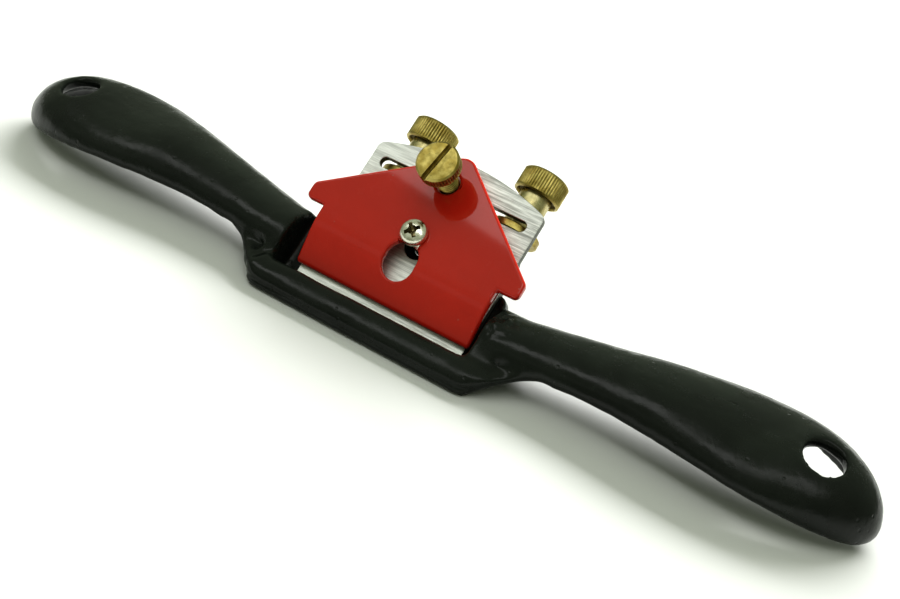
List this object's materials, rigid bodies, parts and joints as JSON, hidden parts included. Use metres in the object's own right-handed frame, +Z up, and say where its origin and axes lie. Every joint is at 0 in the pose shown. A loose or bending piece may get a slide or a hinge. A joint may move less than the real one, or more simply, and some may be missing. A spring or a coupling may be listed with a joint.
{
  "type": "flat-sole spokeshave",
  "caption": "Two-handled metal shave with a flat sole, an angled blade under a bent lever cap, and knurled brass adjusting screws.",
  "frame": {"origin": "middle of the heel's sole, the flat behind the blade, on the tool's centre plane", "axes": "+X along the handles, +Y from the toe to the heel, +Z up from the sole"},
  "size_m": [0.2252, 0.0521, 0.0396],
  "materials": {
    "black_paint": "satin greenish-black paint over a casting",
    "ground_steel": "coarse diagonal grinding marks",
    "red_enamel": "glossy red enamel",
    "nickel_plate": "bright nickel plate",
    "brass": "turned and knurled, slightly aged"
  },
  "bodies": {
    "root": {"body": "black_paint"},
    "blade": {"blade": "ground_steel"},
    "adjuster_left": {"adjuster_left": "brass"},
    "adjuster_right": {"adjuster_right": "brass"},
    "cap": {"lever_cap": "red_enamel"},
    "cap_thumbscrew": {"cap_thumbscrew": "brass"},
    "cap_screw": {"cap_screw": "nickel_plate"}
  },
  "joints": [
    {"name": "blade_feed", "type": "slide", "parent": "root", "child": "blade", "axis": [0, 0.7071, 0.7071], "range_m": [-0.001, 0.002]},
    {"name": "adjuster_left_turn", "type": "hinge", "parent": "blade", "child": "adjuster_left", "pos_m": [-0.01485, 0.02162, 0.02015], "axis": [0, 0.7071, 0.7071], "range_deg": [-450, 900]},
    {"name": "adjuster_right_turn", "type": "hinge", "parent": "blade", "child": "adjuster_right", "pos_m": [0.01485, 0.02162, 0.02015], "axis": [0, 0.7071, 0.7071], "range_deg": [-450, 900]},
    {"name": "cap_slide", "type": "slide", "parent": "root", "child": "cap", "axis": [0, 0.7071, 0.7071], "range_m": [0, 0.0064]},
    {"name": "thumbscrew_turn", "type": "hinge", "parent": "cap", "child": "cap_thumbscrew", "pos_m": [0, 0.01313, 0.0292], "axis": [0, -0.7071, 0.7071], "range_deg": [0, 720]},
    {"name": "cap_screw_turn", "type": "hinge", "parent": "root", "child": "cap_screw", "pos_m": [0, 0.0033, 0.01937], "axis": [0, -0.7071, 0.7071], "range_deg": [0, 720]}
  ],
  "couplings": [
    {"joint": "adjuster_left_turn", "follows": "blade_feed", "rad_per_m": 7853.9},
    {"joint": "adjuster_right_turn", "follows": "blade_feed", "rad_per_m": 7853.9}
  ]
}
